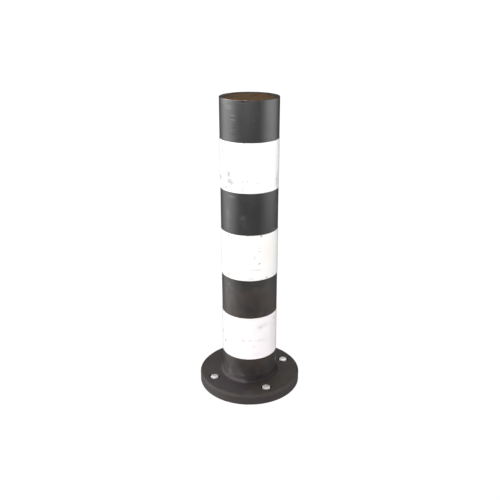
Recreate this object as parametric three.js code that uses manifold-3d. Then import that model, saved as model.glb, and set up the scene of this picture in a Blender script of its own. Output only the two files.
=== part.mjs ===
// A bolt-down steel safety bollard: a capped steel tube welded to a round, chamfered base flange,
// wrapped in three white reflective bands and held down by four hex anchors in counterbores.
// Millimetres, +Z up. The origin is the middle of the flange's underside, on the ground.
import * as THREE from "three";
import { mergeVertices } from "three/addons/utils/BufferGeometryUtils.js";
import Module from "manifold-3d";

const wasm = await Module();
wasm.setup();

// Driving dimensions.
const HEIGHT = 610; // ground to the top rim
const TUBE_DIAMETER = 114.3; // 4 1/2 inch pipe
const TUBE_WALL = 4.5;
const FLANGE_DIAMETER = 215;
const FLANGE_THICKNESS = 22;
const FLANGE_CHAMFER = 4;
const FOOT_WELD_WIDTH = 4.5; // leg on the flange
const FOOT_WELD_HEIGHT = 6; // leg on the tube
const FOOT_WELD_CROWN = 0.58; // share of both legs at the middle of the bead
const CAP_RECESS = 1.5; // rim to the face of the cap
const CAP_THICKNESS = 5;
const CAP_WELD_WIDTH = 1.6;
const CAP_WELD_HEIGHT = 1;
const BAND_NAMES = ["lower", "middle", "upper"];
const BAND_HEIGHT = 95.8;
const BAND_PITCH = 180.2;
const LOWEST_BAND = 77.6; // ground to the lower edge of the first band
const BAND_SHEET = 0.4; // reflective sheeting
const BAND_ADHESIVE = 0.1;
const ANCHORS = 4;
const ANCHOR_CIRCLE = 166; // diameter of the circle of anchor holes
const FIRST_ANCHOR_ANGLE = 25; // degrees from +X
const ANCHOR_HOLE = 16;
const COUNTERBORE_DIAMETER = 22;
const COUNTERBORE_DEPTH = 7.5;
const WASHER_DIAMETER = 20; // M10 plain washer
const WASHER_BORE = 10.5;
const WASHER_THICKNESS = 2;
const HEAD_ACROSS_FLATS = 16; // M10 hex head
const HEAD_HEIGHT = 6.4;
const HEAD_FACE = 14.8; // diameter of the flat left on top of the head
const HEAD_CHAMFER = 1.2; // how far the turned-off corners drop below the top
const HEAD_TURN = -5; // degrees that every head is turned from two flats facing along X
const SHANK_DIAMETER = 10;
const SLEEVE_DIAMETER = 14; // expansion sleeve round the shank
const SLEEVE_BORE = 10.6;

const TOUCH = 0.3; // clearance left where two pieces meet
const ROUND = 64; // sides of the tube and what is round it
const FLANGE_ROUND = 96; // sides of the flange
const SMALL_ROUND = 32; // sides of the anchors' turned pieces

const TUBE_RADIUS = TUBE_DIAMETER / 2;
const BORE_RADIUS = TUBE_RADIUS - TUBE_WALL;
const CAP_FACE = HEIGHT - CAP_RECESS;
const SEAT = FLANGE_THICKNESS - COUNTERBORE_DEPTH; // face of the counterbore
const HEAD_SEAT = SEAT + WASHER_THICKNESS + 2 * TOUCH;

const finishes = {
  black_paint: new THREE.MeshStandardMaterial({ color: 0x3e3c3b, roughness: 0.42 }),
  base_black: new THREE.MeshStandardMaterial({ color: 0x453f3d, roughness: 0.6, metalness: 0.2 }),
  weld: new THREE.MeshStandardMaterial({ color: 0x4a4444, roughness: 0.5, metalness: 0.3 }),
  cap_weld: new THREE.MeshStandardMaterial({ color: 0x3a3330, roughness: 0.6, metalness: 0.3 }),
  rusty_cap: new THREE.MeshStandardMaterial({ color: 0x58463a, roughness: 0.85, metalness: 0.1 }),
  reflective_white: new THREE.MeshStandardMaterial({ color: 0xf6f5f3, roughness: 0.45 }),
  zinc: new THREE.MeshStandardMaterial({ color: 0xc8c6c4, roughness: 0.3, metalness: 0.9 }),
  dark_zinc: new THREE.MeshStandardMaterial({ color: 0x55504c, roughness: 0.5, metalness: 0.8 }),
};

// A closed profile of [radius, height] corners, turned about Z. The corners run up the outside.
function turned(corners, sides) {
  const loop = [...corners, corners[0]].map(([radius, height]) => new THREE.Vector2(radius, height));
  return new THREE.LatheGeometry(loop, sides).rotateX(Math.PI / 2);
}

// A tube between two heights.
function ring(inner, outer, low, high, sides) {
  return turned([[inner, low], [outer, low], [outer, high], [inner, high]], sides);
}

// A solid round bar between two heights; with six sides it is a hexagonal prism.
function bar(radius, low, high, sides) {
  return new THREE.CylinderGeometry(radius, radius, high - low, sides)
    .rotateX(Math.PI / 2)
    .translate(0, 0, (low + high) / 2);
}

function solidOf(geometry) {
  const bare = new THREE.BufferGeometry();
  bare.setAttribute("position", geometry.getAttribute("position"));
  bare.setIndex(geometry.index);
  const merged = mergeVertices(bare, 1e-3);
  return new wasm.Manifold(
    new wasm.Mesh({
      numProp: 3,
      vertProperties: merged.getAttribute("position").array,
      triVerts: new Uint32Array(merged.index.array),
    }),
  );
}

function geometryOf(solid) {
  const mesh = solid.getMesh();
  const geometry = new THREE.BufferGeometry();
  geometry.setAttribute("position", new THREE.BufferAttribute(mesh.vertProperties, 3));
  geometry.setIndex(new THREE.BufferAttribute(mesh.triVerts, 1));
  geometry.computeVertexNormals();
  return geometry;
}

function addPiece(group, name, geometry, finish) {
  const mesh = new THREE.Mesh(geometry, finishes[finish]);
  mesh.name = name;
  group.add(mesh);
}

const anchorAngles = Array.from({ length: ANCHORS }, (_, i) =>
  THREE.MathUtils.degToRad(FIRST_ANCHOR_ANGLE + (i * 360) / ANCHORS),
);

// The flange: a chamfered disc with an anchor hole and a counterbore at each anchor.
function baseFlange() {
  const radius = FLANGE_DIAMETER / 2;
  let flange = solidOf(
    turned(
      [
        [0, 0],
        [radius, 0],
        [radius, FLANGE_THICKNESS - FLANGE_CHAMFER],
        [radius - FLANGE_CHAMFER, FLANGE_THICKNESS],
        [0, FLANGE_THICKNESS],
      ],
      FLANGE_ROUND,
    ),
  );
  for (const angle of anchorAngles) {
    const x = (ANCHOR_CIRCLE / 2) * Math.cos(angle);
    const y = (ANCHOR_CIRCLE / 2) * Math.sin(angle);
    const hole = bar(ANCHOR_HOLE / 2, -1, FLANGE_THICKNESS + 1, SMALL_ROUND).translate(x, y, 0);
    const counterbore = bar(COUNTERBORE_DIAMETER / 2, SEAT, FLANGE_THICKNESS + 1, SMALL_ROUND);
    flange = flange.subtract(solidOf(hole)).subtract(solidOf(counterbore.translate(x, y, 0)));
  }
  return geometryOf(flange);
}

// The fillet weld that joins the tube's foot to the flange, slightly crowned.
function footWeld() {
  const low = FLANGE_THICKNESS + TOUCH;
  const inner = TUBE_RADIUS + TOUCH;
  return turned(
    [
      [inner, low],
      [inner + FOOT_WELD_WIDTH, low],
      [inner + FOOT_WELD_WIDTH * FOOT_WELD_CROWN, low + FOOT_WELD_HEIGHT * FOOT_WELD_CROWN],
      [inner, low + FOOT_WELD_HEIGHT],
    ],
    ROUND,
  );
}

function postTube() {
  return ring(BORE_RADIUS, TUBE_RADIUS, FLANGE_THICKNESS + TOUCH, HEIGHT, ROUND);
}

// The cap is a plain disc let into the tube, just below its rim.
function topCap() {
  return bar(BORE_RADIUS - TOUCH, CAP_FACE - CAP_THICKNESS, CAP_FACE, ROUND);
}

function capWeld() {
  const outer = BORE_RADIUS - TOUCH;
  const low = CAP_FACE + TOUCH;
  return turned([[outer - CAP_WELD_WIDTH, low], [outer, low], [outer, low + CAP_WELD_HEIGHT]], ROUND);
}

function reflectiveBand(low) {
  const inner = TUBE_RADIUS + BAND_ADHESIVE;
  return ring(inner, inner + BAND_SHEET, low, low + BAND_HEIGHT, ROUND);
}

// A hex head with its corners turned off, on a plain shank that ends in the flange's hole.
function anchorBolt() {
  const corner = HEAD_ACROSS_FLATS / 2 / Math.cos(Math.PI / 6);
  const top = HEAD_SEAT + HEAD_HEIGHT;
  const face = HEAD_FACE / 2;
  const beyond = corner + 1; // the turned cone runs on past the corners
  const slope = HEAD_CHAMFER / (corner - face);
  const turning = turned(
    [[0, HEAD_SEAT], [beyond, HEAD_SEAT], [beyond, top - slope * (beyond - face)], [face, top], [0, top]],
    SMALL_ROUND,
  );
  const head = solidOf(bar(corner, HEAD_SEAT, top, 6)).intersect(solidOf(turning));
  const shank = solidOf(bar(SHANK_DIAMETER / 2, TOUCH, HEAD_SEAT + 1, SMALL_ROUND));
  return geometryOf(head.add(shank));
}

function anchorWasher() {
  const low = SEAT + TOUCH;
  return ring(WASHER_BORE / 2, WASHER_DIAMETER / 2, low, low + WASHER_THICKNESS, SMALL_ROUND);
}

function anchorSleeve() {
  return ring(SLEEVE_BORE / 2, SLEEVE_DIAMETER / 2, TOUCH, SEAT, SMALL_ROUND);
}

const bollard = new THREE.Group();
addPiece(bollard, "base_flange", baseFlange(), "base_black");
addPiece(bollard, "foot_weld", footWeld(), "weld");
addPiece(bollard, "post_tube", postTube(), "black_paint");
addPiece(bollard, "top_cap", topCap(), "rusty_cap");
addPiece(bollard, "cap_weld", capWeld(), "cap_weld");

BAND_NAMES.forEach((place, i) => {
  const low = LOWEST_BAND + i * BAND_PITCH;
  addPiece(bollard, "white_band_" + place, reflectiveBand(low), "reflective_white");
});

anchorAngles.forEach((angle, i) => {
  const anchor = new THREE.Group();
  anchor.position.set((ANCHOR_CIRCLE / 2) * Math.cos(angle), (ANCHOR_CIRCLE / 2) * Math.sin(angle), 0);
  anchor.rotation.z = THREE.MathUtils.degToRad(HEAD_TURN);
  addPiece(anchor, "anchor_bolt_" + (i + 1), anchorBolt(), "zinc");
  addPiece(anchor, "anchor_washer_" + (i + 1), anchorWasher(), "dark_zinc");
  addPiece(anchor, "anchor_sleeve_" + (i + 1), anchorSleeve(), "dark_zinc");
  bollard.add(anchor);
});

export default bollard;
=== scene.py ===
"""The looks of a bolt-down steel safety bollard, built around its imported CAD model.

Metres, +Z up, the ground at z = 0, the front of the bollard towards -Y. Azimuths are degrees from +X
towards +Y, so the front is at -90 and the back at 90.
"""

import math

import bmesh
import bpy
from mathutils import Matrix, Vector, noise


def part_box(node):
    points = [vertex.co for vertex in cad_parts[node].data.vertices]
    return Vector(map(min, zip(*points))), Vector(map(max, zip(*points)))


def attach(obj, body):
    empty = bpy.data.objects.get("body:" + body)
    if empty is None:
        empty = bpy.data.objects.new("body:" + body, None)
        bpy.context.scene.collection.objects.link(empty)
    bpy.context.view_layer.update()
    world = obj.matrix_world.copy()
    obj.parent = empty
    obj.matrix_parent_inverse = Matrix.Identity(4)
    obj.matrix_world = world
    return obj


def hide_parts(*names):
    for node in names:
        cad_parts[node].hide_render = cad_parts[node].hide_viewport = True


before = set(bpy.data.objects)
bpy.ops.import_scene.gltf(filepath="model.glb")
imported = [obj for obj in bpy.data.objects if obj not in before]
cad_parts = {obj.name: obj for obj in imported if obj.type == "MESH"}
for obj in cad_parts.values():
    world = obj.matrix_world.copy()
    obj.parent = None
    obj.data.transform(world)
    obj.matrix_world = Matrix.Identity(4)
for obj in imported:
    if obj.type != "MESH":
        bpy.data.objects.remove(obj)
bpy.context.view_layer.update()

MM = 0.001

# ---------------------------------------------------------------- sizes, from the CAD parts

TOUCH = 0.3 * MM  # the gap that touching CAD pieces keep
flange_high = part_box("base_flange")[1]
tube_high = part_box("post_tube")[1]
cap_low, cap_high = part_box("top_cap")
foot_weld_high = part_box("foot_weld")[1]
cap_weld_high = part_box("cap_weld")[1]
washer_low, washer_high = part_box("anchor_washer_1")

FLANGE_RADIUS = flange_high.x
FLANGE_TOP = flange_high.z
FLANGE_CHAMFER = 4 * MM
TUBE_RADIUS = tube_high.x
RIM = tube_high.z
CAP_FACE = cap_high.z
BORE_RADIUS = cap_high.x + TOUCH
COUNTERBORE_SEAT = washer_low.z - TOUCH
COUNTERBORE_RADIUS = 11 * MM
ANCHOR_HOLE_RADIUS = 8 * MM
WASHER_RADIUS = (washer_high.x - washer_low.x) / 2
WASHER_BORE_RADIUS = 5.25 * MM
SLEEVE_RADIUS = 7 * MM
SLEEVE_BORE_RADIUS = 5.3 * MM
SHANK_RADIUS = 5 * MM
HEAD_ACROSS_FLATS = 16 * MM
HEAD_TURN = -5  # degrees that every head is turned from two flats facing along X
SHEET_THICKNESS = 0.4 * MM
BANDS = ("lower", "middle", "upper")
ANCHORS = (1, 2, 3, 4)
LIT_ANCHOR = 1  # the one whose head is painted paler: a painted highlight


# ---------------------------------------------------------------- mesh tools

def mix(a, b, share):
    return a + (b - a) * share


def smooth(low, high, x):
    """0 below low, 1 above high, and an S-curve between them."""
    t = min(1.0, max(0.0, (x - low) / (high - low)))
    return t * t * (3 - 2 * t)


def azimuth_gap(a, b):
    """The angle between two azimuths, in degrees, from 0 to 180."""
    return abs((a - b + 180) % 360 - 180)


def new_mesh(name, points, faces):
    mesh = bpy.data.meshes.new(name)
    mesh.from_pydata(points, [], faces)
    return mesh


def new_object(name, data):
    """An object in the scene that shows a mesh or holds a camera."""
    thing = bpy.data.objects.new(name, data)
    bpy.context.scene.collection.objects.link(thing)
    return thing


def skin(rings, sides):
    """The faces between rings of points, each above the one before it. A ring of one point is a pole."""
    faces = []
    for lower, upper in zip(rings, rings[1:]):
        for i in range(sides):
            j = (i + 1) % sides
            corners = [ring[k % len(ring)] for ring, k in ((lower, i), (lower, j), (upper, j), (upper, i))]
            faces.append(list(dict.fromkeys(corners)))
    return faces


def turned_mesh(name, profile, sides, closed=False):
    """A mesh turned about Z. The profile's (radius, height) points run up the outside."""
    points, rings = [], []
    for radius, height in profile:
        first = len(points)
        count = sides if radius > 0 else 1
        for i in range(count):
            turn = 2 * math.pi * i / sides
            points.append((radius * math.cos(turn), radius * math.sin(turn), height))
        rings.append(range(first, first + count))
    return new_mesh(name, points, skin(rings + rings[:1] if closed else rings, sides))


def rounded(corners, closed=False, steps=5, support=0.2 * MM):
    """A profile whose (radius, height, fillet) corners are arcs, each held by a point just outside it."""
    made = []
    count = len(corners)
    for i, (radius, height, fillet) in enumerate(corners):
        at = Vector((radius, height))
        if not fillet or (not closed and i in (0, count - 1)):
            made.append(tuple(at))
            continue
        back = (Vector(corners[i - 1][:2]) - at).normalized()
        ahead = (Vector(corners[(i + 1) % count][:2]) - at).normalized()
        half = back.angle(ahead) / 2
        reach = fillet / math.tan(half)
        centre = at + (back + ahead).normalized() * fillet / math.sin(half)
        start, end = at + back * reach - centre, at + ahead * reach - centre
        made.append(tuple(at + back * (reach + support)))
        for step in range(steps + 1):
            made.append(tuple(centre + start.slerp(end, step / steps) * fillet))
        made.append(tuple(at + ahead * (reach + support)))
    return made


def move_points(mesh, move):
    """Replaces each vertex's place by move(place)."""
    for vertex in mesh.vertices:
        vertex.co = move(vertex.co.copy())
    mesh.update()


def paint(mesh, name, value):
    """Stores value(place) on every vertex, for a material to read."""
    layer = mesh.attributes.new(name, "FLOAT", "POINT")
    layer.data.foreach_set("value", [value(vertex.co) for vertex in mesh.vertices])


def marks_by_height(marks):
    """The marks that reach each millimetre of height.

    A mark is an azimuth, a height, half its width and half its height in mm, and its tone: above zero
    for a smear, below zero for a scuff.
    """
    near = {}
    for mark in marks:
        _, level, _, high, _ = mark
        reach = 2.5 * high
        for millimetre in range(math.floor(level - reach), math.ceil(level + reach) + 1):
            near.setdefault(millimetre, []).append(mark)
    return near


def mark_cover(near, azimuth, height, side):
    """How strongly the smears (side 1) or the scuffs (side -1) cover a place, at a height in mm."""
    total = 0.0
    for middle, level, wide, high, tone in near.get(round(height), ()):
        if tone * side > 0:
            across = math.radians(azimuth_gap(azimuth, middle)) * TUBE_RADIUS / MM / wide
            along = (height - level) / high
            total += abs(tone) * math.exp(-(across ** 2 + along ** 2))
    return min(1.0, total)


def shade(mesh, sharp_angle=35):
    """Smooth shading, with the edges sharper than the angle kept crisp and the faces turned outwards."""
    edit = bmesh.new()
    edit.from_mesh(mesh)
    bmesh.ops.recalc_face_normals(edit, faces=edit.faces)
    for face in edit.faces:
        face.smooth = True
    limit = math.radians(sharp_angle)
    for edge in edit.edges:
        edge.smooth = len(edge.link_faces) == 2 and edge.calc_face_angle() < limit
    edit.to_mesh(mesh)
    edit.free()


def add_piece(name, mesh, material, slot, *nodes, sharp_angle=35):
    """Puts a finished mesh into the scene as a piece that stands for those CAD nodes."""
    shade(mesh, sharp_angle)
    mesh.materials.append(material)
    piece = new_object(name, mesh)
    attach(piece, "root")
    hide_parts(*nodes)


def cylindrical(place):
    """Radius, azimuth in degrees and height of a place."""
    return math.hypot(place.x, place.y), math.degrees(math.atan2(place.y, place.x)), place.z


def at_azimuth(radius, azimuth, height):
    """The place with that radius, azimuth and height."""
    turn = math.radians(azimuth)
    return Vector((radius * math.cos(turn), radius * math.sin(turn), height))


# ---------------------------------------------------------------- material tools

def linear(red, green, blue):
    """An 8-bit sRGB colour as the linear colour that shaders take."""
    def one(value):
        value /= 255
        return value / 12.92 if value <= 0.04045 else ((value + 0.055) / 1.055) ** 2.4
    return (one(red), one(green), one(blue), 1.0)


class Finish:
    """One procedural material. Each method adds nodes and returns the output that carries the result."""

    def __init__(self, name, settings=()):
        self.material = bpy.data.materials.new(name)
        self.material.use_nodes = True
        self.nodes = self.material.node_tree.nodes
        self.links = self.material.node_tree.links
        self.shader = self.nodes["Principled BSDF"]
        for socket, value in dict(settings).items():
            self.shader.inputs[socket].default_value = value
        self.place = self.nodes.new("ShaderNodeTexCoord").outputs["Object"]

    def feed(self, socket, value):
        """Links value into a socket, or sets it where it is a plain number or colour."""
        if isinstance(value, bpy.types.NodeSocket):
            self.links.new(value, socket)
        else:
            socket.default_value = value

    def noise(self, size, stretch=(1, 1, 1), shift=0.0, detail=4.0, roughness=0.55, distortion=0.0):
        """Cloudy noise whose features are about size across, longer along the stretched axes."""
        mapping = self.nodes.new("ShaderNodeMapping")
        mapping.inputs["Location"].default_value = (shift, shift * 1.7, shift * 2.3)
        mapping.inputs["Scale"].default_value = [1 / (size * s) for s in stretch]
        texture = self.nodes.new("ShaderNodeTexNoise")
        texture.inputs["Scale"].default_value = 1.0
        texture.inputs["Detail"].default_value = detail
        texture.inputs["Roughness"].default_value = roughness
        texture.inputs["Distortion"].default_value = distortion
        self.links.new(self.place, mapping.inputs["Vector"])
        self.links.new(mapping.outputs["Vector"], texture.inputs["Vector"])
        return texture.outputs["Fac"]

    def attribute(self, name):
        """A value that mesh code painted on the vertices."""
        node = self.nodes.new("ShaderNodeAttribute")
        node.attribute_name = name
        return node.outputs["Fac"]

    def height(self):
        """Metres above the ground."""
        node = self.nodes.new("ShaderNodeSeparateXYZ")
        self.links.new(self.place, node.inputs[0])
        return node.outputs["Z"]

    def maths(self, operation, a, b=0.0):
        node = self.nodes.new("ShaderNodeMath")
        node.operation = operation
        self.feed(node.inputs[0], a)
        self.feed(node.inputs[1], b)
        return node.outputs[0]

    def span(self, value, low, high, start=0.0, end=1.0):
        """Start below low, end above high, and a smooth step between them."""
        node = self.nodes.new("ShaderNodeMapRange")
        node.interpolation_type = "SMOOTHSTEP"
        for socket, number in zip(("From Min", "From Max", "To Min", "To Max"), (low, high, start, end)):
            node.inputs[socket].default_value = number
        self.feed(node.inputs["Value"], value)
        return node.outputs["Result"]

    def blend(self, share, first, second):
        """From the first colour to the second as share goes from 0 to 1."""
        node = self.nodes.new("ShaderNodeMix")
        node.data_type = "RGBA"
        self.feed(node.inputs["Factor"], share)
        self.feed(node.inputs[6], first)
        self.feed(node.inputs[7], second)
        return node.outputs[2]

    def bump(self, height, depth, under=None):
        """Relief from a height texture, in metres of depth, added over the relief under it."""
        node = self.nodes.new("ShaderNodeBump")
        node.inputs["Distance"].default_value = depth
        self.feed(node.inputs["Height"], height)
        if under is not None:
            self.links.new(under, node.inputs["Normal"])
        return node.outputs["Normal"]

    def done(self, colour, roughness, metallic, relief):
        """Feeds the shader and returns the material. Metallic is left as it is where it is None."""
        self.feed(self.shader.inputs["Base Color"], colour)
        self.feed(self.shader.inputs["Roughness"], roughness)
        if metallic is not None:
            self.feed(self.shader.inputs["Metallic"], metallic)
        self.feed(self.shader.inputs["Normal"], relief)
        return self.material


# ---------------------------------------------------------------- materials

def post_paint():
    """Semi-gloss black paint: mottled, scraped in places, browner with dirt towards the ground and darker
    just above the plate.
    """
    finish = Finish("post_black_paint")
    mottle = finish.noise(24 * MM, stretch=(1, 1, 1.6), detail=5)
    colour = finish.blend(finish.span(mottle, 0.3, 0.7), linear(36, 36, 36), linear(45, 44, 44))
    low_down = finish.span(finish.height(), 0.12, 0.36, 1.0, 0.0)
    brown = finish.maths("MULTIPLY", low_down, finish.span(finish.noise(20 * MM, shift=3), 0.3, 0.7))
    colour = finish.blend(finish.maths("MULTIPLY", brown, 0.6), colour, linear(76, 61, 53))
    # Darker just above the plate.
    colour = finish.blend(finish.span(finish.height(), 0.03, 0.10, 0.9, 0.0), colour, linear(22, 17, 17))

    hairlines = finish.span(finish.noise(0.5 * MM, stretch=(60, 60, 1), detail=2, shift=7), 0.66, 0.72)
    hairlines = finish.maths("MULTIPLY", hairlines, finish.span(finish.noise(26 * MM, shift=11), 0.52, 0.66))
    colour = finish.blend(finish.maths("MULTIPLY", hairlines, 0.3), colour, linear(112, 110, 107))
    grain = finish.span(finish.noise(1.2 * MM, stretch=(4, 4, 1), detail=2, shift=2), 0.3, 0.6, 0.45, 1.0)
    pale = finish.maths("MULTIPLY", finish.attribute("pale"), grain)
    dark = finish.maths("MULTIPLY", finish.attribute("dark"), grain)
    colour = finish.blend(pale, colour, linear(138, 135, 133))
    colour = finish.blend(dark, colour, linear(22, 21, 21))
    # Dirt on the rim's flat top, and painted shade over the rim's outer edge at the back.
    colour = finish.blend(finish.attribute("rim_dirt_and_shade"), colour, linear(30, 22, 17))

    breakup = finish.span(finish.noise(1.6 * MM, detail=3), 0.3, 0.8, -0.3, 0.3)
    worn = finish.maths("ADD", finish.attribute("wear"), breakup)
    bare = finish.span(worn, 0.55, 0.68)
    colour = finish.blend(finish.span(worn, 0.34, 0.5), colour, linear(72, 46, 38))
    colour = finish.blend(bare, colour, linear(176, 162, 154))
    # The scuffs, the rim's dirt and its painted shade are matt.
    matt = finish.maths("MAXIMUM", dark, finish.attribute("rim_dirt_and_shade"))
    finish.feed(finish.shader.inputs["Specular IOR Level"], finish.span(matt, 0.0, 1.0, 1.0, 0.1))
    cloudy = finish.span(finish.noise(18 * MM, stretch=(1, 1, 2), detail=4, shift=21), 0.3, 0.7, 0.285, 0.325)
    cloudy = finish.maths("ADD", cloudy, finish.span(finish.height(), 0.10, 0.40, 0.05, 0.0))
    roughness = finish.maths("ADD", cloudy, finish.maths("MULTIPLY", matt, 0.3))
    relief = finish.bump(finish.noise(2.2 * MM, detail=2, shift=5), 0.03 * MM)
    relief = finish.bump(finish.maths("MAXIMUM", pale, hairlines), -0.04 * MM, relief)
    return finish.done(colour, roughness, finish.maths("MULTIPLY", bare, 0.6), relief)


def flange_paint():
    """Satin black paint on a heavy plate, under a thin layer of brown road dirt, worn on its edges, with
    painted light and painted shade on its top, chamfer and side.
    """
    finish = Finish("flange_black_paint", {"Specular IOR Level": 0.4})
    mottle = finish.span(finish.noise(30 * MM, detail=4), 0.3, 0.7)
    colour = finish.blend(mottle, linear(38, 32, 32), linear(43, 37, 36))
    # Paler on the left front and round the weld: partly a dusting, mostly painted light.
    colour = finish.blend(finish.attribute("dust_and_light"), colour, linear(58, 52, 55))
    # Painted shade on the chamfer, except at the front.
    colour = finish.blend(finish.attribute("chamfer_shade"), colour, linear(27, 22, 21))
    # A thin layer of brown road dirt in patches.
    dirt_film_and_side_light = finish.span(finish.noise(45 * MM, shift=4, detail=3), 0.42, 0.66)
    colour = finish.blend(finish.maths("MULTIPLY", dirt_film_and_side_light, 0.6), colour, linear(52, 48, 38))
    # Painted light: a paler side, stronger on the left, and a painted highlight on the chamfer at the left
    # front.
    colour = finish.blend(finish.attribute("dirt_film_and_side_light"), colour, linear(62, 57, 57))
    # Paler edges: wear, and a painted highlight along the lit edges and in a dash at the front.
    breakup = finish.span(finish.noise(9 * MM, detail=3), 0.3, 0.75, -0.6, 0.2)
    edge = finish.span(finish.maths("ADD", finish.attribute("wear"), breakup), 0.5, 1.0)
    colour = finish.blend(finish.maths("MULTIPLY", edge, 0.25), colour, linear(104, 98, 97))
    relief = finish.bump(finish.noise(3 * MM, detail=2, shift=2), 0.015 * MM)
    relief = finish.bump(finish.noise(12 * MM, detail=2, shift=6), 0.04 * MM, relief)
    roughness = finish.span(mottle, 0.0, 1.0, 0.46, 0.56)
    return finish.done(colour, roughness, finish.maths("MULTIPLY", edge, 0.2), relief)


def weld_paint(name, dark, light):
    """Dull black paint over a weld, with a painted highlight on the crowns of the ripples and on the lit left
    of the foot.
    """
    finish = Finish(name, {"Specular IOR Level": 0.22})
    mottle = finish.noise(6 * MM, detail=4)
    colour = finish.blend(mottle, dark, light)
    # Painted highlight on the lit left: the bead is paler there and its crowns lighter.
    wear_and_highlight = finish.attribute("wear_and_highlight")
    # The crowns of the ripples carry a painted highlight.
    crown = finish.span(finish.attribute("crown"), 0.6, 1.0)
    crown = finish.maths("MULTIPLY", crown, finish.span(wear_and_highlight, 0.0, 1.0, 0.03, 0.14))
    colour = finish.blend(crown, colour, linear(96, 88, 86))
    colour = finish.blend(finish.maths("MULTIPLY", wear_and_highlight, 0.6), colour, linear(84, 76, 79))
    relief = finish.bump(finish.noise(0.8 * MM, detail=3), 0.04 * MM)
    return finish.done(colour, finish.span(mottle, 0.3, 0.7, 0.5, 0.62), None, relief)


def band_sheeting():
    """White reflective sheeting: glossy, a little darker towards the ground as painted shade, pinker on the
    lower band, scuffed in small spots.
    """
    finish = Finish("white_sheeting", {"Coat Weight": 0.25})
    clouds = finish.noise(60 * MM, detail=4)
    colour = finish.blend(clouds, linear(249, 249, 248), linear(253, 252, 252))
    # Darker towards the ground: painted shade for the weaker light low on the post, with a pink tint.
    for low, high, dark, light in (
        (0.30, 0.50, linear(246, 244, 242), linear(249, 247, 245)),
        (0.12, 0.30, linear(241, 235, 238), linear(246, 241, 243)),
    ):
        below = finish.span(finish.height(), low, high, 1.0, 0.0)
        colour = finish.blend(below, colour, finish.blend(clouds, dark, light))
    streak = finish.span(finish.noise(5 * MM, stretch=(2.5, 2.5, 1), detail=5, shift=8), 0.58, 0.8)
    colour = finish.blend(finish.maths("MULTIPLY", streak, 0.12), colour, linear(168, 164, 162))
    colour = finish.blend(finish.attribute("stain"), colour, linear(244, 214, 184))
    thin = finish.span(finish.noise(3 * MM, stretch=(2, 2, 1), detail=3, shift=19), 0.25, 0.55, 0.3, 1.0)
    smear = finish.maths("MULTIPLY", finish.attribute("smear"), thin)
    colour = finish.blend(smear, colour, linear(128, 122, 122))
    breakup = finish.span(finish.noise(1.5 * MM, detail=4, shift=1), 0.25, 0.8, -0.35, 0.35)
    scuff = finish.span(finish.maths("ADD", finish.attribute("scuff"), breakup), 0.42, 0.72)
    colour = finish.blend(finish.maths("MULTIPLY", scuff, 0.7), colour, linear(92, 88, 88))
    specks = finish.span(finish.noise(2.4 * MM, detail=2, shift=13), 0.74, 0.78)
    colour = finish.blend(finish.maths("MULTIPLY", specks, 0.4), colour, linear(140, 136, 134))
    roughness = finish.span(streak, 0, 1, 0.28, 0.45)
    roughness = finish.maths("ADD", roughness, finish.maths("MULTIPLY", scuff, 0.3))
    relief = finish.bump(finish.noise(3.5 * MM, detail=2, shift=3), 0.03 * MM)
    relief = finish.bump(scuff, -0.1 * MM, relief)
    return finish.done(colour, roughness, None, relief)


def rusted_steel():
    """Bare plate gone brown: rust in soft patches, darker round the edge with dirt and a painted shadow of
    the rim.
    """
    finish = Finish("rusted_cap_plate", {"Specular IOR Level": 0.12})
    patches = finish.noise(16 * MM, detail=6, roughness=0.62, distortion=0.4)
    colour = finish.blend(finish.span(patches, 0.35, 0.68), linear(67, 43, 27), linear(89, 65, 37))
    olive = finish.span(finish.noise(34 * MM, detail=3, shift=12), 0.45, 0.6)
    colour = finish.blend(finish.maths("MULTIPLY", olive, 0.6), colour, linear(70, 60, 40))
    dark = finish.span(finish.noise(9 * MM, detail=5, shift=5), 0.56, 0.72)
    colour = finish.blend(finish.maths("MULTIPLY", dark, 0.7), colour, linear(46, 33, 28))
    # Darker round the edge: dirt, and a painted shadow of the rim that is widest on the left.
    colour = finish.blend(finish.attribute("dirt"), colour, linear(32, 27, 26))
    relief = finish.bump(finish.noise(0.7 * MM, detail=5, roughness=0.7), 0.1 * MM)
    relief = finish.bump(patches, 0.4 * MM, relief)
    return finish.done(colour, finish.span(patches, 0.3, 0.7, 0.7, 0.92), None, relief)


def zinc_plate(name, dark, light, dirt_share):
    """Zinc plating with dirt in its low places, and a painted highlight where its mesh is painted lit."""
    finish = Finish(name, {"Metallic": 0.35})
    clouds = finish.noise(4 * MM, detail=5)
    colour = finish.blend(clouds, dark, light)
    # Painted highlight: one head is paler for the light it catches.
    colour = finish.blend(finish.attribute("lit_head"), colour, linear(250, 248, 246))
    dirt = finish.span(finish.noise(3 * MM, detail=4, shift=6), 0.5, 0.75, 0.0, dirt_share)
    colour = finish.blend(dirt, colour, linear(70, 62, 56))
    relief = finish.bump(finish.noise(0.5 * MM, detail=3), 0.03 * MM)
    return finish.done(colour, finish.span(clouds, 0.3, 0.7, 0.26, 0.42), None, relief)


# ---------------------------------------------------------------- the flange

def anchor_place(number):
    """The axis of an anchor, from its washer."""
    low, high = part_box(f"anchor_washer_{number}")
    return Vector(((low.x + high.x) / 2, (low.y + high.y) / 2, 0))


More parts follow.
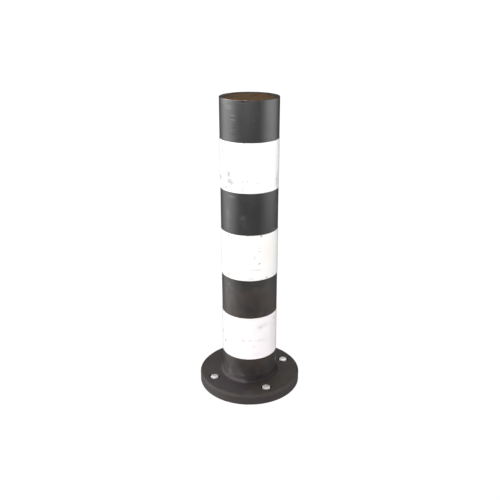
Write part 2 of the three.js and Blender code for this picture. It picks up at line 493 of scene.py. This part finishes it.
def anchor_hole_cutter(number):
    """What is cut away for one anchor: a drilled hole, a counterbore, and a small chamfer on each mouth."""
    broken = 0.6 * MM
    beyond = 2 * MM
    profile = [
        (0, -beyond),
        (ANCHOR_HOLE_RADIUS + broken + beyond, -beyond),
        (ANCHOR_HOLE_RADIUS, broken),
        (ANCHOR_HOLE_RADIUS, COUNTERBORE_SEAT),
        (COUNTERBORE_RADIUS, COUNTERBORE_SEAT),
        (COUNTERBORE_RADIUS, FLANGE_TOP - broken),
        (COUNTERBORE_RADIUS + broken + beyond, FLANGE_TOP + beyond),
        (0, FLANGE_TOP + beyond),
    ]
    cutter = new_object(f"cutter_{number}", turned_mesh(f"cutter_{number}", profile, 72))
    cutter.location = anchor_place(number)
    return cutter


def lit_left_of_foot(azimuth):
    """1 on the lit left of the foot, where a painted highlight makes it paler, and 0 round the rest."""
    return smooth(70, 56, azimuth_gap(azimuth, -160))


def make_flange(material):
    """The plate, with its anchor holes cut, a slightly knocked edge, and the dirt, painted light and painted
    shade on it.
    """
    chamfer_foot = FLANGE_TOP - FLANGE_CHAMFER  # height of the chamfer's lower edge
    chamfer_back = FLANGE_RADIUS - FLANGE_CHAMFER  # radius of the chamfer's upper edge
    patch_outer, patch_inner = FLANGE_RADIUS - 16.5 * MM, FLANGE_RADIUS - 18.5 * MM
    dust_rings = [patch_outer, patch_inner, *(TUBE_RADIUS + out * MM for out in (13, 11, 8, 5))]
    profile = rounded([
        (0, 0, 0),
        (FLANGE_RADIUS, 0, 0.6 * MM),
        (FLANGE_RADIUS, chamfer_foot, 0.7 * MM),
        (chamfer_back, FLANGE_TOP, 0.7 * MM),
        *((radius, FLANGE_TOP, 0) for radius in dust_rings),
        (0, FLANGE_TOP, 0),
    ])
    mesh = turned_mesh("flange_plate", profile, 240)

    def knocked(place):
        """Small knocks and a slightly uneven edge, only outside the anchor holes."""
        radius = math.hypot(place.x, place.y)
        if radius < FLANGE_RADIUS - 1.5 * FLANGE_CHAMFER:
            return place
        dent = 0.12 * MM * noise.noise(place / (14 * MM))
        knock = max(0.0, noise.noise(place / (5 * MM) + Vector((9, 4, 2))) - 0.45) * 0.9 * MM
        return place * (1 + (dent - knock) / radius)

    move_points(mesh, knocked)
    plate = new_object("flange_uncut", mesh)
    cutters = [anchor_hole_cutter(number) for number in ANCHORS]
    for cutter in cutters:
        cut = plate.modifiers.new(cutter.name, "BOOLEAN")
        cut.object = cutter
        cut.operation = "DIFFERENCE"
        cut.solver = "EXACT"
    depsgraph = bpy.context.evaluated_depsgraph_get()
    finished = bpy.data.meshes.new_from_object(plate.evaluated_get(depsgraph))
    for scrap in (plate, *cutters):
        bpy.data.objects.remove(scrap)

    upper_edge = Vector((chamfer_back, FLANGE_TOP))
    lower_edge = Vector((FLANGE_RADIUS, chamfer_foot))

    def wear_and_highlight(place):
        """Paler along the two edges of the chamfer: wear, and a painted highlight that is weakest on the
        shaded right and strongest in a dash at the front.
        """
        radius, azimuth, z = cylindrical(place)
        here = Vector((radius, z))
        front_dash = smooth(1.0, 0.0, azimuth_gap(azimuth, -91) / 5)
        shaded_right = smooth(1.0, 0.3, azimuth_gap(azimuth, -10) / 55)
        upper = smooth(1.6 * MM, 0.2 * MM, (here - upper_edge).length) * (0.35 + 0.65 * front_dash)
        lower = smooth(1.6 * MM, 0.2 * MM, (here - lower_edge).length) * 0.8
        return max(upper, lower) * (1 - 0.8 * shaded_right)

    def dust_and_painted_light(place):
        """Dusting and painted light: paler over the lit left front, thicker round the weld, and in a patch
        near the front edge.
        """
        radius, azimuth, _ = cylindrical(place)
        broad = smooth(1.0, 0.0, azimuth_gap(azimuth, -135) / 75)
        # Round the weld, strongest on the lit left and a little all round over the shade at the foot: painted
        # light.
        by_weld = mix(0.15, 1, lit_left_of_foot(azimuth))
        by_weld *= smooth(TUBE_RADIUS + 12 * MM, TUBE_RADIUS + 6 * MM, radius)
        patch = smooth(1.0, 0.5, azimuth_gap(azimuth, -91) / 9) * smooth(patch_inner, patch_outer, radius)
        on_top = smooth(chamfer_back + 0.5 * MM, chamfer_back - 0.3 * MM, radius)
        return (0.75 * broad + 0.75 * by_weld + 0.6 * patch) * on_top

    def shaded_chamfer(place):
        """Painted shade on the chamfer, except at the front."""
        radius, azimuth, z = cylindrical(place)
        across = smooth(chamfer_back - 0.5 * MM, chamfer_back + 0.2 * MM, radius)
        across *= smooth(chamfer_foot - 0.4 * MM, chamfer_foot + 0.2 * MM, z)
        return 0.9 * across * smooth(15, 40, azimuth_gap(azimuth, -90))

    def pale_side_and_lit_chamfer(place):
        """Paler on the side, partly a dusting and partly painted light that is stronger on the left, and a
        painted highlight on the chamfer at the left front, fading towards its upper edge.
        """
        radius, azimuth, z = cylindrical(place)
        if radius < chamfer_back - 1 * MM:
            return 0.0
        side = smooth(chamfer_foot + 0.15 * MM, chamfer_foot - 0.15 * MM, z)
        side *= 0.6 + 0.35 * smooth(1.0, 0.2, azimuth_gap(azimuth, -150) / 60)
        lit = smooth(1.0, 0.3, azimuth_gap(azimuth, -140) / 90)
        return max(side, 0.45 * lit * smooth(FLANGE_TOP, chamfer_foot, z))

    # Edge wear with a painted highlight.
    paint(finished, "wear", wear_and_highlight)
    paint(finished, "dust_and_light", dust_and_painted_light)
    paint(finished, "chamfer_shade", shaded_chamfer)
    paint(finished, "dirt_film_and_side_light", pale_side_and_lit_chamfer)
    add_piece("flange_plate", finished, material, "base_black", "base_flange", sharp_angle=28)


# ---------------------------------------------------------------- the welds

def weld_bead(name, ring_radius, height, leg_out, leg_up, ripple, depth, material, slot, node, inward=False):
    """A fillet weld round the post: overlapping crescent ripples on a slightly crowned bead.

    Its root is at ring_radius and height, and its legs run out along the flat and up the tube. A ripple
    is that long and its crown that much above its valley.
    """
    across = 14  # points over the bead's face
    buried = 0.5 * MM  # how far the bead reaches into the metal on both sides
    side = -1 if inward else 1
    ripples = round(2 * math.pi * ring_radius / ripple)
    sides = ripples * 9
    face = []
    for i in range(across + 1):
        share = i / across
        crowned = 0.10 * math.sin(math.pi * share)
        out = leg_out * (1 - share + crowned)
        up = leg_up * (share + crowned)
        face.append((ring_radius + side * out, height + up))
    root = (ring_radius - side * buried, height - buried)
    profile = [(face[0][0], height - buried), *face, (ring_radius - side * buried, height + leg_up), root]
    mesh = turned_mesh(name, profile, sides, closed=True)

    def ripple_height(place):
        """From 0 in the valley between two ripples to 1 on a crown, bowed across the bead."""
        share = min(1.0, max(0.0, (place.z - height) / leg_up))
        turn = math.atan2(place.y, place.x) / (2 * math.pi) * ripples
        wander = 0.25 * noise.noise(place / (9 * MM))
        phase = (turn + 0.9 * math.sin(math.pi * share) + wander) % 1.0
        return smooth(0.0, 0.75, phase) * smooth(1.0, 0.8, phase) * math.sin(math.pi * share) ** 0.6

    def rippled(place):
        radius, azimuth, z = cylindrical(place)
        share = (z - height) / leg_up
        if share < 0 or share > 1 or side * (radius - ring_radius) < 0:
            return place
        lift = depth * ripple_height(place)
        uneven = 0.3 * MM * noise.noise(place / (16 * MM)) * math.sin(math.pi * share)
        return at_azimuth(radius + side * (lift + uneven) * 0.7, azimuth, z + (lift + uneven) * 0.7)

    # Crown heights for the painted highlight on the ripples, and the lit left of the foot.
    paint(mesh, "crown", ripple_height)
    paint(mesh, "wear_and_highlight", lambda place: lit_left_of_foot(cylindrical(place)[1]))
    move_points(mesh, rippled)
    add_piece(name, mesh, material, slot, node, sharp_angle=70)


# ---------------------------------------------------------------- the tube and its cap

# Knocks on the rim: azimuth, width in degrees, depth in mm and how bare the knock is.
RIM_KNOCKS = (
    (-137, 26, 0.25, 0.95), (-109, 17, 0.15, 0.78), (-124, 9, 0.05, 0.18), (-97, 9, 0.15, 1.05),
    (-66, 5, 0.3, 0.3), (-34, 6, 0.3, 0.55), (-8, 7, 0.4, 0.7), (38, 6, 0.3, 0.5), (84, 9, 0.2, 0.4),
    (133, 6, 0.3, 0.8), (166, 8, 0.4, 0.5), (205, 5, 0.3, 0.6),
)

# Marks on the black paint, their heights from the ground. The smears are pale and the scuffs dark. Low on the
# neck, the pale smears on the left are a painted highlight and the broad dark scuff at -72 is painted shade.
POST_MARKS = (
    (-98, 608.2, 9.5, 1.3, -1.8), (-140, 605, 5, 4, 0.12), (-52, 588, 11, 24, 0.1),
    (-132, 599, 8, 1.5, 0.3), (-132, 595, 9, 1.5, 0.3), (-147, 604, 6, 3, 0.15), (-122, 582, 5, 1, 0.4),
    (-122, 578, 6, 1, -0.7), (-122, 575, 5, 1, 0.4), (-119, 567, 4, 1, -0.6), (-119, 561, 5, 1.5, -0.6),
    (-122, 549, 9, 1.2, -0.6), (-89, 577, 3, 2, -0.4), (-80, 570, 4, 1.5, -0.5), (-52, 545, 12, 8, 0.08),
    (-126, 429, 8, 2, 0.35), (-137, 394, 5, 12, 0.22), (-138, 372, 4, 12, 0.12), (-103, 389, 5, 4, 0.2),
    (-101, 375, 6, 12, 0.07), (-33, 359, 3, 1.5, 0.6), (-88, 427, 26, 2, -0.3),
    (-150, 246, 4, 4, 0.25), (-138, 243, 5, 3, 0.3), (-129, 237, 3, 2, 0.25), (-147, 228, 5, 10, 0.15),
    (-117, 222, 16, 26, 0.06), (-77, 239, 5, 1.5, 0.12), (-62, 235, 12, 6, 0.09), (-80, 246, 20, 2, -0.3),
    # At 32 to 40 mm: a painted highlight on the left of the neck, and painted shade at -72.
    (-140, 205, 8, 14, 0.05), (-136, 32, 14, 9, 0.25), (-132, 38, 15, 14, 0.09), (-158, 40, 8, 9, 0.22),
    (-112, 38, 10, 15, 0.15), (-105, 38, 6, 1.5, 0.2), (-72, 33, 24, 7, -0.8), (-127, 40, 2, 2, -0.6),
    (20, 560, 16, 3, 0.3), (64, 420, 12, 2, 0.35), (70, 412, 9, 1.5, -0.6), (112, 585, 14, 3, 0.25),
    (118, 575, 9, 1.5, 0.4), (150, 215, 12, 6, 0.15), (40, 200, 9, 2, 0.35), (95, 232, 6, 5, -0.5),
    (-20, 400, 8, 2, 0.3), (170, 560, 8, 2, -0.6), (160, 390, 10, 3, 0.3), (10, 232, 6, 3, -0.5),
)


def rim_knock(azimuth, measure):
    """The depth (measure 2) or the bareness (measure 3) of the rim's knocks at an azimuth."""
    total = 0
    for knock in RIM_KNOCKS:
        total += knock[measure] * smooth(1.0, 0.0, azimuth_gap(azimuth, knock[0]) / knock[1])
    return total


def make_tube(material):
    """The pipe, with shallow dents, a knocked rim and its bore."""
    low = FLANGE_TOP
    near_top, bare, hidden = 0.6 * MM, 1.3 * MM, 8 * MM  # steps in height
    covered = [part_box(f"white_band_{band}") for band in BANDS]
    outside = []
    height = low + bare
    while height < RIM - 1.8 * MM:
        outside.append((TUBE_RADIUS, height))
        if any(bottom.z < height < top.z - hidden for bottom, top in covered):
            height += hidden
        else:
            height += bare if height < RIM - 9 * MM else near_top
    rim = rounded([
        (TUBE_RADIUS, RIM - 1.6 * MM, 0),
        (TUBE_RADIUS, RIM, 0.5 * MM),
        (BORE_RADIUS, RIM, 0.5 * MM),
        (BORE_RADIUS, low, 0),
    ])
    profile = [(TUBE_RADIUS, low), *outside, *rim]
    mesh = turned_mesh("post_pipe", profile, 320, closed=True)

    def knocked(place):
        radius, azimuth, z = cylindrical(place)
        near_rim = smooth(RIM - 6 * MM, RIM, z)
        depth = rim_knock(azimuth, 2) * MM * near_rim
        outer = smooth(BORE_RADIUS, TUBE_RADIUS, radius)
        rough = 0.1 * MM * noise.noise(place / (3 * MM)) * smooth(RIM - 2 * MM, RIM, z)
        dent = 0.12 * MM * noise.noise(Vector((place.x, place.y, z * 0.7)) / (48 * MM))
        radius += dent - (depth * 0.8 - rough) * outer
        return at_azimuth(radius, azimuth, z - depth * 0.3 + rough * near_rim)

    near = marks_by_height(POST_MARKS)

    def marked(place, side):
        radius, azimuth, z = cylindrical(place)
        return mark_cover(near, azimuth, z / MM, side) if radius > TUBE_RADIUS - 0.1 * MM else 0.0

    def worn(place):
        """Bare along the rim's outer edge, in the knocks, except where a scuff covers it."""
        radius, azimuth, z = cylindrical(place)
        edge = smooth(RIM - 1.1 * MM, RIM - 0.3 * MM, z)
        edge *= smooth(BORE_RADIUS - 1 * MM, TUBE_RADIUS - 2 * MM, radius)
        return min(1.0, edge * rim_knock(azimuth, 3)) * (1 - marked(place, -1))

    def rim_dirt_and_back_shade(place):
        """Dirt lies on the flat top of the rim, less in the knocks; at the back it reaches out over the edge
        as painted shade.
        """
        radius, azimuth, z = cylindrical(place)
        # At the back the mask reaches out over the edge: painted shade there.
        outer = TUBE_RADIUS + 0.6 * MM * smooth(1.0, 0.5, azimuth_gap(azimuth, 90) / 90)
        on_top = smooth(RIM - 1.0 * MM, RIM - 0.2 * MM, z) * smooth(outer, outer - 1 * MM, radius)
        return on_top * (1 - 0.6 * min(1.0, rim_knock(azimuth, 3)))

    paint(mesh, "wear", worn)
    paint(mesh, "pale", lambda place: marked(place, 1))
    paint(mesh, "dark", lambda place: marked(place, -1))
    paint(mesh, "rim_dirt_and_shade", rim_dirt_and_back_shade)
    move_points(mesh, knocked)
    add_piece("post_pipe", mesh, material, "black_paint", "post_tube", sharp_angle=50)


# Dark stains on the cap: x, y and radius in mm, and strength.
CAP_STAINS = ((10, 24, 10, 0.45), (-31, 6, 9, 0.4), (38, 8, 9, 0.35), (37, 27, 8, 0.5), (-12, -34, 8, 0.3))


def make_cap(material):
    """The plate let into the top, dished a little and pitted."""
    edge = cap_high.x
    broken = 0.4 * MM  # the small bevel on both edges
    rings = 44  # closer together near the edge
    profile = [(0, cap_low.z), (edge - broken, cap_low.z), (edge, cap_low.z + broken)]
    profile += [(edge, CAP_FACE - broken), (edge - broken, CAP_FACE)]
    profile += [(edge * (1 - (i / rings) ** 1.15), CAP_FACE) for i in range(1, rings + 1)]
    mesh = turned_mesh("cap_plate", profile, 240)

    def pitted(place):
        radius = math.hypot(place.x, place.y)
        if place.z < CAP_FACE - 0.1 * MM:
            return place
        dish = -0.5 * MM * (1 - (radius / edge) ** 2)
        scale = 0.22 * MM * noise.fractal(place / (9 * MM), 0.8, 2.0, 4)
        return Vector((place.x, place.y, place.z + dish + min(scale, 0.2 * MM)))

    def dirt_and_rim_shadow(place):
        """Dirt against the weld and in a few stains; the band along the edge is wider and thinner on the
        left, a painted shadow of the rim there.
        """
        radius, azimuth, _ = cylindrical(place)
        leftward = smooth(80, 0, azimuth_gap(azimuth, 175))
        reach = mix(9, 20, leftward) * MM
        uneven = 5 * MM * noise.noise(place / (9 * MM))
        total = mix(0.75, 0.6, leftward) * smooth(edge - reach + uneven, edge, radius)
        for x, y, size, strength in CAP_STAINS:
            away = (Vector((x, y)) * MM - place.xy).length / (size * MM) + 0.5 * noise.noise(place / (6 * MM))
            total += strength * smooth(1.4, 0.3, away)
        return min(1.0, total)

    move_points(mesh, pitted)
    paint(mesh, "dirt", dirt_and_rim_shadow)
    add_piece("cap_plate", mesh, material, "rusty_cap", "top_cap")


# ---------------------------------------------------------------- the bands

LAP = 12  # degrees by which a band's end laps over its start, at the back
BAND_SEAM = 90  # azimuth of the lap

# Marks on each band, their heights from the band's lower edge.
BAND_MARKS = {
    "upper": (
        (-158, 90, 3, 3, -1.2), (-150, 76, 3, 4, -1.2), (-133, 35, 6, 8, 0.8), (-130, 20, 11, 9, 0.7),
        (-162, 22, 4, 6, -1.3), (-141, 7, 3, 5, -1.2), (-129, 3, 4, 2, 0.8), (-94, 23, 3, 3, -0.55),
        (-94, 23, 6, 4, 0.15), (-103, 23, 2, 4, 0.4), (-74, 20, 5, 1.5, 0.3), (-103, 7, 2, 4, 0.4),
        (-24, 16, 5, 14, 0.5), (-112, 14, 16, 10, 0.12), (-125, 88, 22, 2, 0.3),
        (-10, 60, 4, 6, -0.6), (38, 30, 6, 3, 0.4), (75, 70, 9, 6, 0.2), (140, 48, 5, 5, -0.55),
        (168, 12, 12, 8, 0.2),
    ),
    "middle": (
        (-67, 94, 3, 3, -1.0), (-71, 69, 2.5, 1.2, 0.5), (-71, 62, 2.5, 1.2, 0.5), (-80, 50, 2, 5, 0.3),
        (-70, 36, 4.5, 3, -0.8), (-80, 23, 12, 1.5, 0.35), (-71, 22, 4, 1.5, 0.12), (-53, 3, 4, 3, -0.8),
        (-66, 1, 4, 3, -0.65), (-35, 6, 3, 3, -0.65), (-88, 5, 8, 4, 0.2), (-21, 61, 2, 7, -0.7),
        (-136, 8, 4, 6, 0.7), (-134, 91, 3, 3, 0.8), (-90, 90, 7, 1.5, 0.2), (-150, 3, 5, 2, -0.9),
        (15, 40, 7, 7, 0.3), (52, 80, 5, 3, -0.6), (95, 22, 9, 5, 0.25), (130, 66, 4, 4, -0.6),
        (170, 30, 8, 10, 0.2),
    ),
    "lower": (
        (-68, 74, 4, 4, -0.65), (-68, 74, 7, 6, 0.2), (-56, 77, 8, 5, 0.15), (-150, 30, 2.5, 5, -1.3),
        (-160, 49, 2, 5, -1.2), (-103, 44, 3, 2.5, 0.5), (-89, 45, 3, 2.5, 0.3), (-82, 30, 5, 3, 0.12),
        (-67, 43, 10, 2, 0.22), (-55, 42, 12, 14, 0.06), (-28, 84, 3, 4, -0.8), (-27, 68, 3, 7, -0.65),
        (-21, 52, 3, 5, -0.6), (-30, 22, 3, 4, -0.6), (-36, 50, 8, 40, 0.08), (-73, 12, 16, 6, 0.06),
        (-100, 92, 30, 2, 0.1),
        (10, 30, 7, 5, 0.4), (48, 62, 4, 4, -0.6), (88, 18, 14, 6, 0.25), (125, 74, 5, 4, -0.55),
        (160, 40, 7, 9, 0.3),
    ),
}


def torn_edge(azimuth, height, seed):
    """How far a band's edge is eaten back at an azimuth, in metres."""
    turn = math.radians(azimuth)
    around = Vector((math.cos(turn), math.sin(turn), seed))
    ragged = 0.12 * MM * noise.noise(around * 30)
    nick = max(0.0, noise.noise(around * 9 + Vector((height, 0, 5))) - 0.45) * 4 * MM
    return abs(ragged) + nick


def make_band(name, place_index, material):
    """A strip wrapped once round the post, with a lapped end at the back and nicked edges."""
    low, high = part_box(f"white_band_{name}")
    glue = 0.1 * MM
    height = high.z - low.z
    around, up = 390, 56
    inner = TUBE_RADIUS + glue
    steps = [0, 0.004, 0.012] + [mix(0.02, 0.98, i / up) for i in range(up + 1)] + [0.988, 0.996, 1]

    def sheet_radius(share):
        """The strip climbs onto its own start over the last part of its length."""
        lapped = smooth(360 - 2, 360 + 1, share * (360 + LAP))
        return inner + (SHEET_THICKNESS + glue) * lapped

    points, faces = [], []
    for i in range(around + 1):
        share = i / around
        azimuth = BAND_SEAM + share * (360 + LAP)
        lower_cut = torn_edge(azimuth, 0.0, place_index)
        upper_cut = torn_edge(azimuth, 1.0, place_index + 20)
        for step in steps:
            z = low.z + height * step
            z += lower_cut * smooth(0.12, 0.0, step) - upper_cut * smooth(0.88, 1.0, step)
            for radius in (sheet_radius(share), sheet_radius(share) + SHEET_THICKNESS):
                points.append(at_azimuth(radius, azimuth, z))
    column = 2 * len(steps)
    for i in range(around):
        for j in range(len(steps) - 1):
            a, b = i * column + 2 * j, (i + 1) * column + 2 * j
            faces.append((a, a + 2, b + 2, b))
            faces.append((a + 1, b + 1, b + 3, a + 3))
        first, last = i * column, (i + 1) * column - 2
        next_first, next_last = first + column, last + column
        faces.append((first, next_first, next_first + 1, first + 1))
        faces.append((last, last + 1, next_last + 1, next_last))
    for j in range(len(steps) - 1):
        a, b = 2 * j, around * column + 2 * j
        faces.append((a, a + 1, a + 3, a + 2))
        faces.append((b, b + 2, b + 3, b + 1))
    mesh = new_mesh(f"band_{name}", points, faces)
    near = marks_by_height(BAND_MARKS[name])

    def marked(place, side):
        _, azimuth, z = cylindrical(place)
        return mark_cover(near, azimuth, (z - low.z) / MM, side)

    def stained(place):
        """Dirt creeping in from the edges, and a faint yellow patch on the right of the middle band."""
        _, azimuth, z = cylindrical(place)
        from_edge = min(z - low.z, high.z - z)
        edge = 0.2 * smooth(5 * MM, 0, from_edge) * (0.5 + noise.noise(place / (12 * MM)))
        patch = 0.0
        if name == "middle":
            patch = 0.12 * smooth(1.0, 0.0, azimuth_gap(azimuth, -52) / 22)
            patch *= smooth(34 * MM, 6 * MM, abs(z - low.z - 60 * MM))
        return max(0.0, edge) + patch

    def smeared(place):
        """The smears, and a line of dirt along the end of the lap."""
        _, azimuth, _ = cylindrical(place)
        lap_end = smooth(1.3, 0.2, azimuth_gap(azimuth, BAND_SEAM + LAP))
        return min(1.0, marked(place, 1) + 0.45 * lap_end)

    paint(mesh, "scuff", lambda place: marked(place, -1))
    paint(mesh, "smear", smeared)
    paint(mesh, "stain", stained)
    add_piece(f"band_{name}", mesh, material, "reflective_white", f"white_band_{name}", sharp_angle=40)


# ---------------------------------------------------------------- the anchors

def make_bolt(number, material):
    """A hex head with its corners turned off at 30 degrees, on a plain shank."""
    place = anchor_place(number)
    low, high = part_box(f"anchor_bolt_{number}")
    top, seat = high.z, washer_high.z + TOUCH
    flat = HEAD_ACROSS_FLATS / 2
    turned_face = flat * 0.93
    turned_slope = math.tan(math.radians(30))
    corner_softness = 0.35 * MM
    crown = 0.9 * MM  # how far the top falls from its middle to its edge
    sides = 168
    radii = (0.0, 0.35, 0.7, 0.93, 0.985, 1.0)  # shares of the turned face

    def hex_radius(azimuth):
        """The hexagon's edge at an azimuth, its corners eased."""
        off = (azimuth - HEAD_TURN - 30) % 60 - 30
        sharp = flat / math.cos(math.radians(off))
        return sharp - corner_softness * smooth(24, 30, abs(off))

    def head_point(azimuth, kind, value):
        """Radius and height of a point on one part of the head, at a share of the way across that part."""
        edge = hex_radius(azimuth)
        if kind == "face":
            return turned_face * value, top - crown * value ** 2
        if kind == "turned":
            radius = mix(turned_face, edge, value)
            return radius, top - crown - max(0.0, radius - turned_face) * turned_slope
        if kind == "side":
            chamfered = top - crown - (edge - turned_face) * turned_slope
            return edge, mix(chamfered - 0.15 * MM, seat + 0.4 * MM, value)
        return edge * value, seat

    levels = [("face", share) for share in radii]
    levels += [("turned", 0.15), ("turned", 0.5), ("turned", 0.85), ("turned", 1.0)]
    levels += [("side", 0.0), ("side", 0.5), ("side", 1.0), ("under", 0.985), ("under", 0.7)]
    points, rings = [], []
    for kind, value in levels:
        count = 1 if (kind, value) == ("face", 0.0) else sides
        rings.append(range(len(points), len(points) + count))
        for i in range(count):
            azimuth = 360 * i / sides
            radius, z = head_point(azimuth, kind, value)
            points.append(place + at_azimuth(radius, azimuth, z))
    bevel = 1 * MM
    shank = ((SHANK_RADIUS, seat), (SHANK_RADIUS, low.z + bevel), (SHANK_RADIUS - bevel, low.z), (0, low.z))
    for radius, z in shank:
        count = sides if radius else 1
        rings.append(range(len(points), len(points) + count))
        for i in range(count):
            points.append(place + at_azimuth(radius, 360 * i / sides, z))
    mesh = new_mesh(f"hex_bolt_{number}", points, skin(rings[::-1], sides))
    # A painted highlight on one head.
    paint(mesh, "lit_head", lambda place: 0.25 if number == LIT_ANCHOR else 0.0)
    add_piece(f"hex_bolt_{number}", mesh, material, "zinc", f"anchor_bolt_{number}", sharp_angle=25)


def make_washer(number, material):
    """A plain washer with the rounded edges of a stamped one."""
    place = anchor_place(number)
    low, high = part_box(f"anchor_washer_{number}")
    profile = rounded([
        (WASHER_BORE_RADIUS, low.z, 0.4 * MM),
        (WASHER_RADIUS, low.z, 0.5 * MM),
        (WASHER_RADIUS, high.z, 0.7 * MM),
        (WASHER_BORE_RADIUS, high.z, 0.4 * MM),
    ], closed=True)
    name = f"plain_washer_{number}"
    mesh = turned_mesh(name, profile, 96, closed=True)
    move_points(mesh, lambda point: point + place)
    add_piece(name, mesh, material, "dark_zinc", f"anchor_washer_{number}", sharp_angle=40)


def make_sleeve(number, material):
    """The anchor's sleeve in the flange's hole, slit along one side."""
    place = anchor_place(number)
    low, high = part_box(f"anchor_sleeve_{number}")
    slit = 14  # degrees
    sides = 80
    inner, outer = SLEEVE_BORE_RADIUS, SLEEVE_RADIUS
    section = [(inner, low.z), (outer, low.z), (outer, high.z), (inner, high.z)]
    points, faces = [], []
    for i in range(sides + 1):
        azimuth = slit / 2 + (360 - slit) * i / sides
        points += [place + at_azimuth(radius, azimuth, z) for radius, z in section]
    for i in range(sides):
        for k in range(4):
            a, b = 4 * i + k, 4 * i + (k + 1) % 4
            faces.append((a, a + 4, b + 4, b))
    last = 4 * sides
    faces += [(0, 1, 2, 3), (last + 3, last + 2, last + 1, last)]
    mesh = new_mesh(f"slit_sleeve_{number}", points, faces)
    add_piece(f"slit_sleeve_{number}", mesh, material, "dark_zinc", f"anchor_sleeve_{number}")


# ---------------------------------------------------------------- floor, light and camera

# The light round the bollard, as tall soft lamps. Each has its azimuth, its strength, the cosines between
# which it fades in round that azimuth, and the sines of elevation where it fades in and out again.
LAMPS = {
    "left": (180, 11.2, (0.57, 1.77), (-0.67, 0.07), (0.90, 0.60)),
    "right": (-3, 8.1, (0.60, 1.80), (-0.34, -0.24), (0.90, 0.60)),
    "front": (-100, 4.0, (0.60, 0.95), (-0.02, 0.08), (0.75, 0.50)),
    "back": (90, 2.5, (0.10, 0.90), (0.60, 0.85), (1.20, 1.10)),
}
AMBIENT = 0.12


def make_light():
    """Soft lamps all round, on a background that the camera sees as plain white."""
    world = bpy.data.worlds.new("studio")
    bpy.context.scene.world = world
    world.use_nodes = True
    nodes, links = world.node_tree.nodes, world.node_tree.links

    def ramp(value, low, high):
        node = nodes.new("ShaderNodeMapRange")
        node.interpolation_type = "SMOOTHSTEP"
        node.inputs["From Min"].default_value, node.inputs["From Max"].default_value = low, high
        links.new(value, node.inputs["Value"])
        return node.outputs["Result"]

    def maths(operation, a, b):
        node = nodes.new("ShaderNodeMath")
        node.operation = operation
        for socket, value in zip(node.inputs, (a, b)):
            if isinstance(value, float):
                socket.default_value = value
            else:
                links.new(value, socket)
        return node.outputs[0]

    def vector(operation, a, b=None):
        node = nodes.new("ShaderNodeVectorMath")
        node.operation = operation
        links.new(a, node.inputs[0])
        if b is not None:
            node.inputs[1].default_value = b
        return node

    direction = nodes.new("ShaderNodeTexCoord").outputs["Generated"]
    level = vector("MULTIPLY", direction, (1, 1, 0)).outputs[0]
    level = vector("NORMALIZE", level).outputs[0]
    split = nodes.new("ShaderNodeSeparateXYZ")
    links.new(direction, split.inputs[0])
    total = AMBIENT
    for azimuth, strength, around, fade_in, fade_out in LAMPS.values():
        towards = vector("DOT_PRODUCT", level, at_azimuth(1, azimuth, 0)).outputs["Value"]
        upwards = maths("MULTIPLY", ramp(split.outputs["Z"], *fade_in), ramp(split.outputs["Z"], *fade_out))
        glow = maths("MULTIPLY", ramp(towards, *around), upwards)
        total = maths("ADD", maths("MULTIPLY", glow, strength), total)

    lamps, backdrop = nodes["Background"], nodes.new("ShaderNodeBackground")
    links.new(total, lamps.inputs["Strength"])
    lamps.inputs["Color"].default_value = (1, 1, 1, 1)
    backdrop.inputs["Strength"].default_value = 1.0
    backdrop.inputs["Color"].default_value = (1, 1, 1, 1)
    choose, path = nodes.new("ShaderNodeMixShader"), nodes.new("ShaderNodeLightPath")
    links.new(path.outputs["Is Camera Ray"], choose.inputs[0])
    links.new(lamps.outputs[0], choose.inputs[1])
    links.new(backdrop.outputs[0], choose.inputs[2])
    links.new(choose.outputs[0], nodes["World Output"].inputs["Surface"])


def make_floor():
    """A white floor that melts into the background and casts no light of its own on the bollard."""
    mesh = turned_mesh("floor", [(30, 0), (0, 0)], 96)
    floor = new_object("floor", mesh)
    floor.location.z = -0.5 * MM
    floor.visible_glossy = floor.visible_diffuse = floor.visible_shadow = False
    white = Finish("studio_floor", {
        "Base Color": (0.02, 0.02, 0.02, 1),
        "Roughness": 1.0,
        "Emission Color": (1, 1, 1, 1),
        "Emission Strength": 0.98,
    })
    mesh.materials.append(white.material)


def make_camera():
    """In front of the bollard and above it, looking down, as a person standing close sees it."""
    distance, height, tilt, aside = 1.1913, 0.7840, 22.06, 0.001
    data = bpy.data.cameras.new("camera")
    data.sensor_width = 36
    data.angle = math.radians(43.33)
    camera = new_object("camera", data)
    camera.location = (aside, -distance, height)
    camera.rotation_euler = (math.radians(90 - tilt), 0, 0)
    bpy.context.scene.camera = camera
    bpy.context.scene.view_settings.view_transform = "Standard"


# ---------------------------------------------------------------- the bollard

make_camera()
make_light()
make_floor()

make_flange(flange_paint())
make_tube(post_paint())
make_cap(rusted_steel())
foot_paint = weld_paint("foot_weld_paint", linear(22, 18, 19), linear(29, 24, 25))
seal_paint = weld_paint("cap_weld_dirt", linear(38, 33, 31), linear(52, 45, 40))
weld_bead(
    "foot_fillet", TUBE_RADIUS, FLANGE_TOP, foot_weld_high.x - TUBE_RADIUS, foot_weld_high.z - FLANGE_TOP,
    5 * MM, 0.3 * MM, foot_paint, "weld", "foot_weld",
)
weld_bead(
    "cap_seal_bead", BORE_RADIUS, CAP_FACE, 1.8 * MM, cap_weld_high.z - CAP_FACE,
    2.5 * MM, 0.15 * MM, seal_paint, "cap_weld", "cap_weld", inward=True,
)
sheeting = band_sheeting()
for index, band in enumerate(BANDS):
    make_band(band, index, sheeting)
zinc = zinc_plate("bright_zinc", linear(184, 181, 178), linear(214, 212, 210), 0.35)
dull_zinc = zinc_plate("dull_zinc", linear(84, 78, 73), linear(112, 105, 98), 0.9)
for anchor in ANCHORS:
    make_bolt(anchor, zinc)
    make_washer(anchor, dull_zinc)
    make_sleeve(anchor, dull_zinc)
